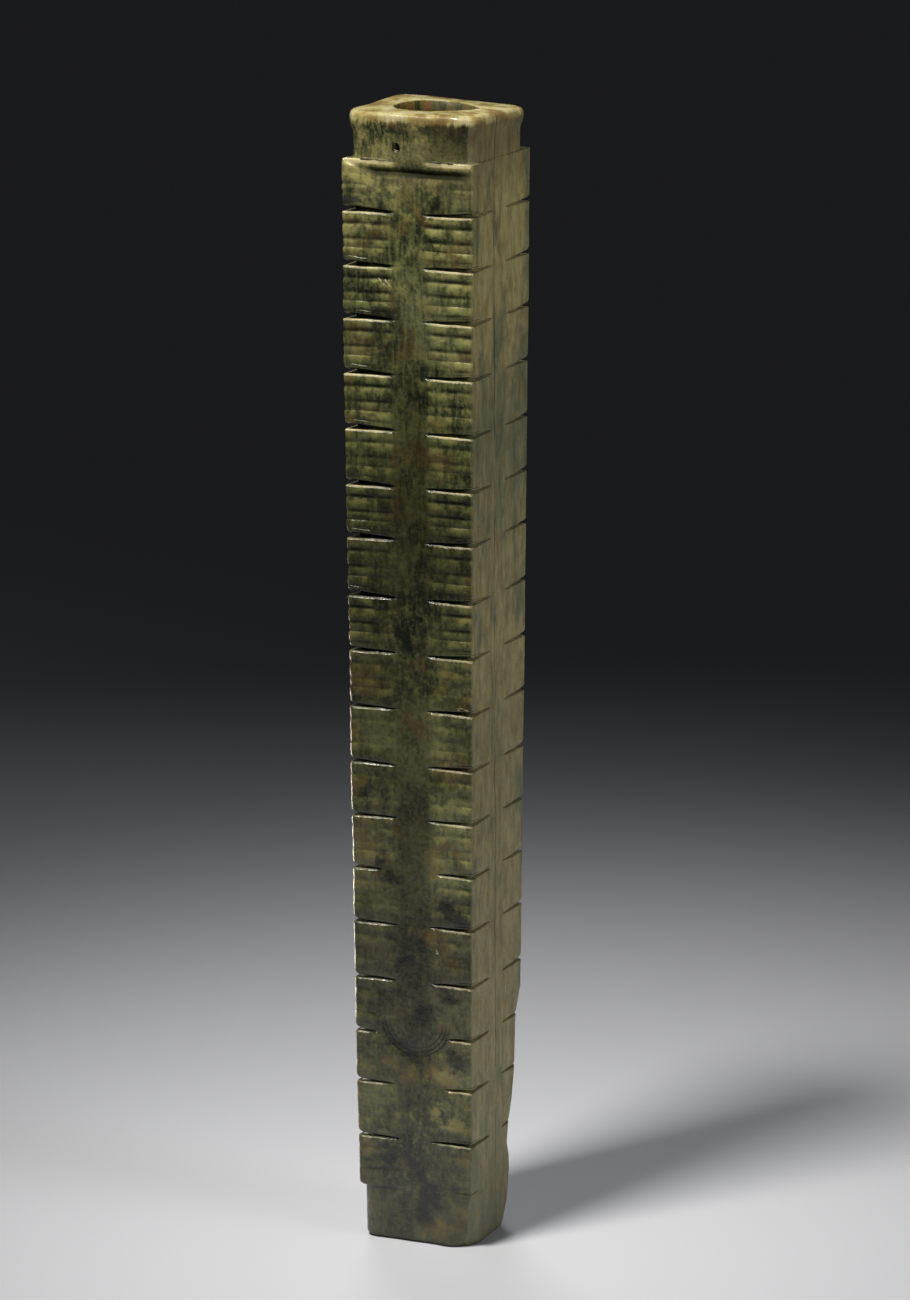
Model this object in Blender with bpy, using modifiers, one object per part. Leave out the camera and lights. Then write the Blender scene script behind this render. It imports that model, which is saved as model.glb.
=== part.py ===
"""A tall jade cong: a square column carved in nineteen tiers and drilled from both ends.

The column is one piece of stone. It is a loft: each row is a horizontal section, either the
core with its rounded corners, which shows in the two collars and at the floor of the slots,
or the square corner blocks that stand out from it, with a shallow channel down the middle of
each face. Z is up, the origin is at the middle of the underside, and sizes are in metres.
"""
import math

import bmesh
import bpy

# The column, across the faces of its corner blocks
TOP_WIDTH = 0.0600
BASE_WIDTH = 0.0530
TOP_COLLAR = 0.0205
BASE_COLLAR = 0.0235

# The tiers from the top down, uneven as they were sawn
TIER_HEIGHTS = (
    0.0225, 0.0230, 0.0225, 0.0235, 0.0240, 0.0240, 0.0230, 0.0250, 0.0240, 0.0245,
    0.0245, 0.0235, 0.0235, 0.0240, 0.0250, 0.0240, 0.0230, 0.0245, 0.0230,
)
HEIGHT = BASE_COLLAR + sum(TIER_HEIGHTS) + TOP_COLLAR

# The channel down each face, and how far a block's face rises from it for each metre towards
# the corner. The core is flush with the channel, and its corners are rounded.
CHANNEL_WIDTH = 0.0132
FACE_SLOPE = 0.045
CORE_ROUND_TOP = 0.0095
CORE_ROUND_BASE = 0.0065

# The slot between two tiers, and the soft underside of the block above it
SLOT_HEIGHT = 0.00095
LEDGE_FALL = 0.00015
UNDERSIDE_HEIGHT = 0.0023
UNDERSIDE_TURN = 0.0006
UNDERSIDE_SHARE = 0.36

# The carving on each block: two bands, each leaning in to a cut at its foot, and a short
# nose bar below. The places are shares of the tier's height, from its ledge down.
BAND_CUT = 0.0005
FIELD_CUT = 0.0003
NOSE_LENGTH = 0.0104
NOSE_SLOPE = 0.0006
FIRST_BAND_SHARE = 0.215
SECOND_BAND_SHARE = 0.485
CUT_SHARE = 0.015
NOSE_TOP_SHARE = 0.65
NOSE_FOOT_SHARE = 0.82

# Wear: tiers whose carving is crisp, and the tier from which it has gone
CRISP_TIERS = 9
BLANK_TIER = 14

# The rounded rim above the hollow of the top collar, and the worn edge of the base
RIM_ROUND = 0.0020
RIM_HEIGHT = 0.0045
COLLAR_HOLLOW = 0.0100
BASE_ROUND = 0.0025
EDGE_STEPS = 3

# The bore, wider at both mouths than where the two drillings meet
BORE_TOP = 0.0357
BORE_WAIST = 0.0250
BORE_BASE = 0.0300
BORE_MEETING = 0.2400
MOUTH_ROUND = 0.0008

# The small hole drilled through the front of the top collar
SIDE_HOLE = 0.0026
SIDE_HOLE_DROP = 0.0150
SIDE_HOLE_OFFSET = -0.0055

# The corner lost at the back right: where the break starts, its shoulder, and the upright
# stretch below, with the depth at each, along the diagonal from the block's corner
BREAK_HEIGHT = 0.1120
BREAK_START = -0.0004
SHOULDER_HEIGHT = 0.0940
SHOULDER_DEPTH = 0.0046
UPRIGHT_HEIGHT = 0.0440
UPRIGHT_DEPTH = 0.0092

CORE_STEPS = 2
BORE_SIDES = 48
HOLE_SIDES = 16
CUTTER_MARGIN = 0.0100


def lerp(first, second, share):
    return first + (second - first) * share


def half_width(z):
    """Half the width across the block faces at height z."""
    return lerp(BASE_WIDTH, TOP_WIDTH, z / HEIGHT) / 2


def core_step(z):
    """How far the core and the channel lie under the corners of the blocks."""
    return FACE_SLOPE * (half_width(z) - CHANNEL_WIDTH / 2)


def core_half(z, grow=0.0):
    """Half a corner of the core, as points (along the face, out from the axis).

    It starts at the channel's edge and ends on the diagonal. grow moves the outline out.
    """
    out = half_width(z) - core_step(z) + grow
    radius = lerp(CORE_ROUND_BASE, CORE_ROUND_TOP, z / HEIGHT)
    points = [(CHANNEL_WIDTH / 2, out)]
    for step in range(CORE_STEPS + 1):
        angle = math.radians(45) * step / CORE_STEPS
        points.append((out - radius + radius * math.sin(angle),
                       out - radius + radius * math.cos(angle)))
    return points


def block_half(z, cut=0.0, nose=0.0):
    """Half a corner block, with the same points as core_half.

    cut is how deep the carving lies under the face at the corner, fading towards the
    channel, and nose is how far the nose bar stands up from the cut field.
    """
    out = half_width(z)
    edge = CHANNEL_WIDTH / 2
    floor = out - core_step(z)
    corner = out - cut
    bar_end = out - NOSE_LENGTH

    def on_face(along, raised=0.0):
        share = (along - edge) / (corner - edge)
        return (along, lerp(floor, corner, share) + raised)

    return [
        on_face(edge),
        on_face(bar_end - NOSE_SLOPE),
        on_face(bar_end, nose),
        (corner + nose, corner + nose),
    ]


def blend_half(first, second, share):
    return [(lerp(a[0], b[0], share), lerp(a[1], b[1], share)) for a, b in zip(first, second)]


def collar_edge(z_edge, inward, radius, grow=0.0):
    """Rows of a rounded collar edge at z_edge; inward is -1 at the rim and +1 at the base."""
    rows = []
    for step in range(EDGE_STEPS + 1):
        angle = math.radians(90) * step / EDGE_STEPS
        z = z_edge + inward * radius * (1 - math.sin(angle))
        rows.append((z, core_half(z, grow - radius * (1 - math.cos(angle)))))
    return rows if inward > 0 else rows[::-1]


def top_collar_rows():
    """The rounded rim at the full width, and the hollow below it down to the first ledge."""
    rim = core_step(HEIGHT)
    rows = collar_edge(HEIGHT, -1, RIM_ROUND, rim)
    for z, grow in ((HEIGHT - RIM_HEIGHT, rim), (HEIGHT - COLLAR_HOLLOW, 0.0)):
        rows.append((z, core_half(z, grow)))
    z = HEIGHT - TOP_COLLAR + LEDGE_FALL
    rows.append((z, core_half(z)))
    return rows


def tier_rows(top, height, relief):
    """One tier from its ledge down to the foot of the slot below it."""
    band = BAND_CUT * relief
    field = FIELD_CUT * relief
    carving = [
        (0.0, 0.0, 0.0),
        (FIRST_BAND_SHARE, band, 0.0),
        (FIRST_BAND_SHARE + CUT_SHARE, 0.0, 0.0),
        (SECOND_BAND_SHARE, band, 0.0),
        (SECOND_BAND_SHARE + CUT_SHARE, field, 0.0),
        (NOSE_TOP_SHARE - CUT_SHARE, field, 0.0),
        (NOSE_TOP_SHARE, field, field),
        (NOSE_FOOT_SHARE, field, field),
    ]
    rows = []
    for share, cut, nose in carving:
        z = top - share * height
        rows.append((z, block_half(z, cut, nose)))

    foot = top - height
    turn = foot + SLOT_HEIGHT + UNDERSIDE_HEIGHT
    rows.append((turn, block_half(turn, field)))
    middle = foot + SLOT_HEIGHT + UNDERSIDE_TURN
    rows.append((middle, blend_half(block_half(middle, field), core_half(middle),
                                    UNDERSIDE_SHARE)))
    for z in (foot + SLOT_HEIGHT, foot + LEDGE_FALL):
        rows.append((z, core_half(z)))
    return rows


def column_rows():
    """All the rows of the loft, from the rim to the underside."""
    rows = top_collar_rows()
    top = HEIGHT - TOP_COLLAR
    for number, height in enumerate(TIER_HEIGHTS):
        worn = (number + 1 - CRISP_TIERS) / (BLANK_TIER - CRISP_TIERS)
        rows += tier_rows(top, height, 1 - min(1.0, max(0.0, worn)))
        top -= height
    rows += collar_edge(0.0, 1, BASE_ROUND)
    return rows


def section(half):
    """The closed outline of a row, four corners turned from one half corner."""
    corner = [(out, along) for along, out in half]
    corner += [(along, out) for along, out in half[-2::-1]]
    outline = []
    for turn in range(4):
        for x, y in corner:
            for _ in range(turn):
                x, y = -y, x
            outline.append((x, y))
    return outline


def add_object(name, bm, collection):
    mesh = bpy.data.meshes.new(name)
    bmesh.ops.recalc_face_normals(bm, faces=bm.faces[:])
    bm.to_mesh(mesh)
    bm.free()
    item = bpy.data.objects.new(name, mesh)
    collection.objects.link(item)
    return item


def make_column(collection):
    """The loft through all the rows, closed by a flat top and a flat underside."""
    bm = bmesh.new()
    rings = []
    for z, half in column_rows():
        rings.append([bm.verts.new((x, y, z)) for x, y in section(half)])
    for upper, lower in zip(rings, rings[1:]):
        count = len(upper)
        for i in range(count):
            j = (i + 1) % count
            bm.faces.new((upper[i], lower[i], lower[j], upper[j]))
    bm.faces.new(rings[0])
    bm.faces.new(rings[-1][::-1])
    return add_object("jade_cong", bm, collection)


def make_bore(collection):
    """A turned cutter that narrows from both mouths to where the drillings meet."""
    top = BORE_TOP / 2
    base = BORE_BASE / 2
    profile = [
        (0.0, HEIGHT + CUTTER_MARGIN),
        (top + MOUTH_ROUND, HEIGHT + CUTTER_MARGIN),
        (top + MOUTH_ROUND, HEIGHT),
        (top, HEIGHT - MOUTH_ROUND),
        (BORE_WAIST / 2, BORE_MEETING),
        (base, MOUTH_ROUND),
        (base + MOUTH_ROUND, 0.0),
        (base + MOUTH_ROUND, -CUTTER_MARGIN),
        (0.0, -CUTTER_MARGIN),
    ]
    mesh = bpy.data.meshes.new("bore_cutter")
    mesh.from_pydata([(x, 0.0, z) for x, z in profile],
                     [(i, i + 1) for i in range(len(profile) - 1)], [])
    cutter = bpy.data.objects.new("bore_cutter", mesh)
    collection.objects.link(cutter)
    turn = cutter.modifiers.new("turned", "SCREW")
    turn.steps = BORE_SIDES
    turn.render_steps = BORE_SIDES
    turn.use_merge_vertices = True
    turn.merge_threshold = 0.00001
    return cutter


def make_side_hole(collection):
    """The small hole's cutter, from outside the front face into the bore."""
    bm = bmesh.new()
    length = TOP_WIDTH / 2 + CUTTER_MARGIN
    bmesh.ops.create_cone(bm, cap_ends=True, segments=HOLE_SIDES, radius1=SIDE_HOLE / 2,
                          radius2=SIDE_HOLE / 2, depth=length)
    cutter = add_object("side_hole_cutter", bm, collection)
    cutter.rotation_euler = (math.radians(90), 0.0, 0.0)
    cutter.location = (SIDE_HOLE_OFFSET, -length / 2, HEIGHT - SIDE_HOLE_DROP)
    return cutter


def make_break(collection):
    """The lost corner's cutter: two leaning faces, then an upright one down to the base."""
    reach = TOP_WIDTH

    def from_corner(z, depth):
        return (half_width(z) * math.sqrt(2) - depth, z)

    upright = from_corner(UPRIGHT_HEIGHT, UPRIGHT_DEPTH)
    outline = [
        from_corner(BREAK_HEIGHT, BREAK_START),
        from_corner(SHOULDER_HEIGHT, SHOULDER_DEPTH),
        upright,
        (upright[0], -CUTTER_MARGIN),
        from_corner(-CUTTER_MARGIN, -reach),
        from_corner(BREAK_HEIGHT, -reach),
    ]
    bm = bmesh.new()
    face = bm.faces.new([bm.verts.new((x, -reach, z)) for x, z in outline])
    slab = bmesh.ops.extrude_face_region(bm, geom=[face])
    moved = [item for item in slab["geom"] if isinstance(item, bmesh.types.BMVert)]
    bmesh.ops.translate(bm, verts=moved, vec=(0.0, 2 * reach, 0.0))
    cutter = add_object("break_cutter", bm, collection)
    cutter.rotation_euler = (0.0, 0.0, math.radians(45))
    return cutter


def make_jade():
    jade = bpy.data.materials.new("jade")
    jade.use_nodes = True
    shader = jade.node_tree.nodes["Principled BSDF"]
    shader.inputs["Base Color"].default_value = (0.125, 0.122, 0.062, 1.0)
    shader.inputs["Roughness"].default_value = 0.38
    shader.inputs["Metallic"].default_value = 0.0
    return jade


def main():
    for item in list(bpy.data.objects):
        bpy.data.objects.remove(item)
    parts = bpy.data.collections.new("jade_cong")
    cutters = bpy.data.collections.new("cutters")
    bpy.context.scene.collection.children.link(parts)
    bpy.context.scene.collection.children.link(cutters)

    column = make_column(parts)
    column.data.materials.append(make_jade())
    for cutter in (make_bore(cutters), make_side_hole(cutters), make_break(cutters)):
        cutter.hide_render = True
        cutter.display_type = "WIRE"
        cut = column.modifiers.new(cutter.name, "BOOLEAN")
        cut.operation = "DIFFERENCE"
        cut.solver = "EXACT"
        cut.object = cutter


main()
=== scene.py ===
"""The looks of the jade cong: its carved surface, its stone, and a plain studio.

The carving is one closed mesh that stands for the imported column. It is a grid: columns at
fixed angles round the axis, and rows that run down the outside, under the base, up the bore
and over the rim. Each point has a radius, worked out from the profile of the tiers, and then
the saw marks, the scar and the broken corner are cut into the finished grid. Lengths are in
metres, Z is up and the front of the column faces -Y.
"""
import math

import bpy
import numpy as np
from mathutils import Matrix, Vector, noise


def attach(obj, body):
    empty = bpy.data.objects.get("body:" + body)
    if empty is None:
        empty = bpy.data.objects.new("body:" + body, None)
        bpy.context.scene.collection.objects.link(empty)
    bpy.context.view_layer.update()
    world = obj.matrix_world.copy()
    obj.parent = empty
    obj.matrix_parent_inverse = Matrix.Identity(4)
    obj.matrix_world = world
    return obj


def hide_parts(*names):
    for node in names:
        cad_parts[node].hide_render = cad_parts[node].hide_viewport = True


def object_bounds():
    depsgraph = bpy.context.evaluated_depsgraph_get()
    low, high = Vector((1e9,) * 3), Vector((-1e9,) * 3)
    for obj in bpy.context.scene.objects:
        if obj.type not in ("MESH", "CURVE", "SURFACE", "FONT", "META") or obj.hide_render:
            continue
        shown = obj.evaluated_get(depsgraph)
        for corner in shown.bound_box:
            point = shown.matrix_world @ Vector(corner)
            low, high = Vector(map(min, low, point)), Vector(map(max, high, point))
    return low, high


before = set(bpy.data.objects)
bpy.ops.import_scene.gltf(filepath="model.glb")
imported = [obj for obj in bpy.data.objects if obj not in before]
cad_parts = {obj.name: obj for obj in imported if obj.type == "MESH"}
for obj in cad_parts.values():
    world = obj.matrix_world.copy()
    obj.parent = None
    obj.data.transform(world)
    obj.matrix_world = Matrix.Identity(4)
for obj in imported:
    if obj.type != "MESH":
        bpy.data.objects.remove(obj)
cad_low, cad_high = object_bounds()

MM = 0.001

# The column's driving sizes, as in the part's source; only the rim is a little rounder
HEIGHT = cad_high.z
TOP_HALF = 30.0 * MM
BASE_HALF = 26.5 * MM
TOP_COLLAR = 20.5 * MM
TIER_HEIGHTS = (
    22.5, 23.0, 22.5, 23.5, 24.0, 24.0, 23.0, 25.0, 24.0, 24.5,
    24.5, 23.5, 23.5, 24.0, 25.0, 24.0, 23.0, 24.5, 23.0,
)
CHANNEL_EDGE = 6.6 * MM
FACE_SLOPE = 0.045
CORE_ROUND_TOP = 9.5 * MM
CORE_ROUND_BASE = 6.5 * MM
RIM_ROUND = 2.4 * MM
BASE_ROUND = 2.5 * MM
BORE_TOP = 17.85 * MM
BORE_WAIST = 12.5 * MM
BORE_BASE = 15.0 * MM
BORE_MEETING = 240.0 * MM
MOUTH_ROUND = 0.8 * MM

# The grid's columns: how many across each face, and their places beside each corner
FACE_COLUMNS = {"right": 28, "back": 19, "left": 19, "front": 42}
FACE_ANGLES = {"right": 0.0, "back": 90.0, "left": 180.0, "front": 270.0}
CORNER_PLACES = np.array((-0.55, -0.30, -0.13, 0.0, 0.13, 0.30, 0.55)) * MM
WORN_CORNER_PLACES = np.array((-1.60, -0.90, -0.35, 0.0, 0.35, 0.90, 1.60)) * MM
CORNER_MARGIN = 0.034

# A block's edges: the lip where it meets the channel, how far from there the carving has its
# full depth, and the rounding of its outer corner, crisp and worn; the front left corner turns
# from crisp to worn between the two heights
LIP = 0.25 * MM
LIP_WIDTH = 0.9 * MM
CARVING_RISE = 3.0 * MM
CORNER_ROUND = 0.30 * MM
WORN_CORNER_ROUND = 1.8 * MM
WORN_HEIGHTS = (300.0 * MM, 240.0 * MM)

# How wide a crease is rounded off for a corner of radius 1
CREASE_WIDTH = 1.66

# The edge of a ledge: how far in each row lies from the block's face, and its drop
LEDGE_EDGE = ((0.30 * MM, 0.0), (0.09 * MM, 0.08 * MM), (0.0, 0.27 * MM))

# The carving down a block: share of the tier's height, depth of the face and depth on the
# nose bar in millimetres, how much grime and painted shade darken it there, and how much painted
# highlight, partly polished wear, lightens it
CARVING = (
    (0.030, 0.00, 0.00, 0.0, 0.9),
    (0.110, 0.06, 0.06, 0.0, 0.4),
    (0.160, 0.20, 0.20, 0.3, 0.0),
    (0.182, 0.48, 0.48, 0.8, 0.0),
    (0.212, 0.52, 0.52, 0.6, 0.0),
    (0.238, 0.20, 0.20, 0.0, 0.6),
    (0.260, 0.06, 0.06, 0.0, 0.8),
    (0.330, 0.00, 0.00, 0.0, 0.5),
    (0.400, 0.06, 0.06, 0.0, 0.1),
    (0.438, 0.20, 0.20, 0.3, 0.0),
    (0.460, 0.42, 0.42, 0.7, 0.0),
    (0.488, 0.46, 0.46, 0.5, 0.0),
    (0.515, 0.24, 0.26, 0.0, 0.4),
    (0.600, 0.22, 0.36, 0.2, 0.2),
    (0.640, 0.24, 0.50, 0.6, 0.0),
    (0.655, 0.24, 0.10, 0.0, 0.8),
    (0.680, 0.24, 0.00, 0.0, 0.9),
    (0.775, 0.22, 0.03, 0.0, 0.3),
    (0.812, 0.22, 0.24, 0.4, 0.0),
    (0.835, 0.24, 0.44, 0.5, 0.0),
)

# The first tier has no bands left, only three fine lines by the corners; its rows lie closer
# at the top
FIRST_PLAIN_SHARES = (0.030, 0.060, 0.090, 0.120, 0.150, 0.180, 0.205, 0.225, 0.245, 0.265)
FIRST_CARVING = tuple((share, 0.0, 0.0, 0.0, 0.0) for share in FIRST_PLAIN_SHARES) + (
    (0.290, 0.0, 0.2, 0.0, 0.6),
    (0.340, 0.0, 0.0, 0.0, 0.0),
    (0.440, 0.0, 0.2, 0.0, 0.0),
    (0.470, 0.0, 1.2, 1.0, 0.0),
    (0.500, 0.0, 0.1, 0.0, 0.9),
    (0.560, 0.0, 0.0, 0.0, 0.0),
    (0.600, 0.1, 0.3, 0.0, 0.6),
    (0.630, 0.3, 1.0, 0.5, 0.0),
    (0.680, 0.0, 0.2, 0.0, 0.2),
    (0.820, 0.0, 0.0, 0.0, 0.0),
)
NOSE_LENGTH = 10.4 * MM
NOSE_END = 1.2 * MM
FIELD_DEPTH = 0.2 * MM

# The underside of a block and the slot below it, where it is crisp and where it is worn soft:
# height above the next ledge in millimetres, how far the row lies towards the core, and the
# share of the second saw line
CRISP_UNDERSIDE = (
    (3.60, 0.00, 0.00),
    (3.25, 0.00, 1.00),
    (2.90, 0.01, 0.00),
    (2.45, 0.03, 0.00),
    (2.20, 0.10, 0.00),
    (2.03, 0.32, 0.00),
    (1.93, 0.66, 0.00),
    (1.87, 0.92, 0.00),
    (1.80, 1.00, 0.00),
    (0.12, 1.00, 0.00),
)
SOFT_UNDERSIDE = (
    (2.90, 0.00, 0.00),
    (2.50, 0.03, 1.00),
    (2.15, 0.07, 0.00),
    (1.85, 0.13, 0.00),
    (1.55, 0.23, 0.00),
    (1.28, 0.38, 0.00),
    (1.08, 0.58, 0.00),
    (0.96, 0.84, 0.00),
    (0.88, 1.00, 0.00),
    (0.10, 1.00, 0.00),
)
SECOND_LINE = 0.30 * MM
SLOT_CLOSING = 0.38
SLOT_TALLER = 1.35
SLOT_DEEPER = 0.9 * MM
LAST_STRETCH = 1.3

# Where the slots of the front begin beside the channel, in millimetres from its middle: worn
# or scarred slots begin farther out, on the left block and on the right
SLOT_STARTS = {13: (14.0, 11.0), 15: (8.0, 8.0), 16: (17.5, 16.0), 17: (10.0, 14.0)}

# How far the ledges waver, how far the carving's rows do as a share of the tier, how far apart
# the seeds of the noise lie, and what raises the noise to about -1 to 1
WOBBLE = 0.30 * MM
ROW_WAVER = 0.012
SEED_STEP = 7.31
NOISE_REACH = 1.8


def lerp(first, second, share):
    return first + (second - first) * share


def smooth_step(low, high, value):
    share = np.clip((value - low) / (high - low), 0.0, 1.0)
    return share * share * (3.0 - 2.0 * share)


def soft_min(first, second, width):
    """The lower of two values, with the crease between them rounded over width."""
    gap = np.maximum(width - np.abs(first - second), 0.0)
    return np.minimum(first, second) - gap * gap / (4.0 * width)


def bump(value, centre, width):
    """A smooth hump, 1 at the centre and close to 0 beyond about twice the width."""
    return np.exp(-((value - centre) / width) ** 2)


def column_angles():
    """The angles of the grid's columns in degrees, from -45 up, closer at the corners."""
    angles = []
    for name, count in FACE_COLUMNS.items():
        across = np.linspace(-1.0 + CORNER_MARGIN, 1.0 - CORNER_MARGIN, count)
        angles.extend(FACE_ANGLES[name] + np.degrees(np.arctan(across)))
        corner_radius = TOP_HALF * math.sqrt(2.0)
        places = WORN_CORNER_PLACES if name == "left" else CORNER_PLACES
        angles.extend(FACE_ANGLES[name] + 45.0 + np.degrees(places / corner_radius))
    return np.sort((np.array(angles) + 45.0) % 360.0 - 45.0)


ANGLE = column_angles()
TURN = np.radians(ANGLE)
OFF_FACE = np.radians((ANGLE + 45.0) % 90.0 - 45.0)
COS = np.cos(OFF_FACE)
SIN = np.maximum(np.abs(np.sin(OFF_FACE)), 0.3)
TANGENT = np.tan(OFF_FACE)


def by_block(right, back, left, front):
    """A value for each column from pairs (near the first corner, near the second)."""
    angles = []
    values = []
    for angle, pair in ((0, right), (90, back), (180, left), (270, front)):
        for place, value in ((-44, pair[0]), (-9, pair[0]), (9, pair[1]), (44, pair[1])):
            angles.append(angle + place)
            values.append(value)
    return np.interp(ANGLE, angles, values, period=360.0)


FRONT = by_block((0, 0), (0, 0), (0, 0), (1, 1))
RIGHT = by_block((1, 1), (0, 0), (0, 0), (0, 0))
NEAR = by_block((1, 0), (0, 0), (0, 0), (0, 1))
FRONT_LEFT = by_block((0, 0), (0, 0), (0, 1), (1, 0))

# The left face without its rounded corners
LEFT = smooth_step(136.0, 140.0, ANGLE) * smooth_step(222.0, 218.5, ANGLE)

# The near corner of the lower collar is sharper than the others and nearly fills the ledge
NEAR_SHARPER = 3.0 * MM
NEAR_FILL = 0.65 * MM * NEAR * smooth_step(0.25, 0.6, np.abs(TANGENT))


def half_width(z):
    return lerp(BASE_HALF, TOP_HALF, z / HEIGHT)


def face_step(z):
    """How far the core and the channel lie under the corners of the blocks."""
    return FACE_SLOPE * (half_width(z) - CHANNEL_EDGE)


def face_radius(z, depth=0.0):
    """The radius of the blocks' faces and the channels, with the carving's depth taken off."""
    half = half_width(z)
    step = face_step(z)
    out = half + 0.0 * TANGENT
    for _ in range(3):
        along = out * np.abs(TANGENT)
        share = np.clip((along - CHANNEL_EDGE) / (half - CHANNEL_EDGE), 0.0, 1.0)
        lip = LIP * smooth_step(0.0, LIP_WIDTH, along - CHANNEL_EDGE)
        out = half - step + lip + (step - LIP) * share
    worn = FRONT_LEFT * smooth_step(WORN_HEIGHTS[0], WORN_HEIGHTS[1], z)
    rounding = CREASE_WIDTH * lerp(CORNER_ROUND, WORN_CORNER_ROUND, worn)
    return soft_min((out - depth) / COS, (half - depth) / SIN, rounding)


def core_radius(z, grow=0.0):
    """The radius of the core, a square with rounded corners."""
    out = half_width(z) - face_step(z) + grow
    rounding = lerp(CORE_ROUND_BASE - NEAR * NEAR_SHARPER, CORE_ROUND_TOP, z / HEIGHT)
    centre = out - rounding
    toward = centre * (COS + np.abs(np.sin(OFF_FACE)))
    arc = toward + np.sqrt(np.maximum(toward ** 2 - 2 * centre ** 2 + rounding ** 2, 0.0))
    return np.where(out * np.abs(TANGENT) <= centre, out / COS, arc)


def round_noise(scale, seed):
    """Smooth noise round the column, one value for each column, between about -1 and 1."""
    values = []
    for turn in TURN:
        place = Vector((math.cos(turn) * scale, math.sin(turn) * scale, seed * SEED_STEP))
        values.append(noise.noise(place) * NOISE_REACH)
    return np.array(values)


def relief(number):
    """How crisp the bands and nose bars of a tier still are, for each column."""
    worn = smooth_step(9.3, 10.8, number)
    blank = smooth_step(14.0, 16.0, number)
    first = 0.35 if number == 1 else 1.0
    front_left = first * lerp(1.0, 0.22, worn)
    front_right = first * lerp(lerp(1.0, 0.45, worn), 0.15, blank)
    hidden = lerp(lerp(0.8, 0.35, worn), 0.1, blank)
    return by_block((0.0, 0.0), (0.2, hidden), (hidden, hidden), (front_left, front_right))


def slot_crispness(number):
    """1 where a slot is open and sharp, 0 where it is narrow under a soft edge."""
    worn = smooth_step(7.5, 10.0, number)
    right_worn = smooth_step(9.0, 14.0, number)
    return by_block((0.25, 0.1), (0.3, 0.5), (0.5, 0.5), (1.0 - worn, 1.0 - 0.7 * right_worn))


class Grid:
    """The rows of the mesh, and what each point carries for the material."""

    NAMES = ("radius", "height", "dirt", "edge", "polish", "rim", "inside")

    def __init__(self):
        self.rows = []

    def add(self, radius, height, **carried):
        row = {name: 0.0 for name in self.NAMES}
        row.update(carried, radius=radius, height=height)
        self.rows.append([row[name] + 0.0 * ANGLE for name in self.NAMES])

    def arrays(self):
        stacked = np.array(self.rows)
        return {name: stacked[:, i, :] for i, name in enumerate(self.NAMES)}


# How far the rim has been ground down, in millimetres, every 45 degrees from +X round, over
# how many columns that is evened out, and how much it wavers
RIM_DROPS = (1.3, 2.6, 1.5, 0.0, 0.3, 0.5, 0.5, 0.4)
RIM_EVENED = 15
RIM_WAVER = 0.25

# The wall of the top collar: share of the way down, and how far it has grown past the core
COLLAR_WALL = (
    (0.07, 1.0), (0.16, 0.97), (0.26, 0.6), (0.37, 0.15), (0.46, 0.0),
    (0.56, 0.0), (0.67, 0.0), (0.78, 0.0), (0.88, 0.0), (0.95, 0.0),
)

# The rows of a rounded edge, and the places of the other rows of the base and the bore
ROUND_STEPS = 6
BASE_SHARES = (0.0, 0.03, 0.1, 0.2, 0.3, 0.4, 0.5, 0.6, 0.7, 0.8, 0.9)
UNDERSIDE_SHARES = (0.33, 0.66, 0.9)
LOWER_BORE_SHARES = (0.0, 0.25, 0.5, 0.75, 0.97, 1.0)
UPPER_BORE_SHARES = (0.03, 0.3, 0.6, 0.8, 0.9, 0.96, 0.985, 1.0)
TOP_SHARES = (0.0, 0.06, 0.25, 0.5, 0.75)


def rim_drop():
    angles = np.arange(len(RIM_DROPS)) * 45.0
    drop = np.interp(ANGLE, angles, RIM_DROPS, period=360.0)
    kernel = np.hanning(RIM_EVENED)
    beside = RIM_EVENED // 2
    padded = np.concatenate((drop[-beside:], drop, drop[:beside]))
    smooth = np.convolve(padded, kernel / kernel.sum(), mode="valid")
    return (smooth + RIM_WAVER * round_noise(2.2, 3)) * MM


def add_top_collar(grid, ledge):
    """The rounded rim and the hollow wall below it, down to the first ledge."""
    full = face_step(HEIGHT)
    top = HEIGHT - rim_drop()
    for step in range(ROUND_STEPS + 1):
        angle = math.radians(90) * step / ROUND_STEPS
        inset = RIM_ROUND * (1 - math.sin(angle))
        z = top - RIM_ROUND * (1 - math.cos(angle))
        # The rim's rounding takes a little painted highlight
        grid.add(core_radius(HEIGHT, full - inset), z, rim=1.0, edge=0.6)
    start = top - RIM_ROUND
    for share, grow in COLLAR_WALL:
        z = lerp(start, ledge, share)
        grid.add(core_radius(z, full * grow), z, rim=max(0.0, 1.0 - 6.0 * share))
    # Painted shade in the crease above the first ledge
    grid.add(core_radius(ledge), ledge + 0.12 * MM, dirt=0.4)


def underside(number):
    """The rows under a tier: height above the next ledge, inward share, second line, and
    darkening, partly grime and partly painted shade.
    """
    crisp = slot_crispness(number)
    for soft, sharp in zip(SOFT_UNDERSIDE, CRISP_UNDERSIDE):
        if number < len(TIER_HEIGHTS):
            height = lerp(soft[0], sharp[0], crisp)
            inward = lerp(soft[1], sharp[1], crisp)
            # The slot is painted darker the deeper the row lies, as shade with some grime
            dirt = 0.3 if soft is SOFT_UNDERSIDE[-1] else inward * lerp(0.55, 1.0, crisp)
        else:
            height = LAST_STRETCH * max(soft[0] - SOFT_UNDERSIDE[-2][0], 0.1 * soft[0])
            inward = soft[1]
            dirt = 0.25 * inward
        yield height * MM, inward, soft[2], dirt


def slot_start(number):
    """How far from the middle of its face each column's slot begins."""
    usual = CHANNEL_EDGE / MM
    left, right = SLOT_STARTS.get(number, (usual, usual))
    return by_block((usual, usual), (usual, usual), (usual, usual), (left, right)) * MM


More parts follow.
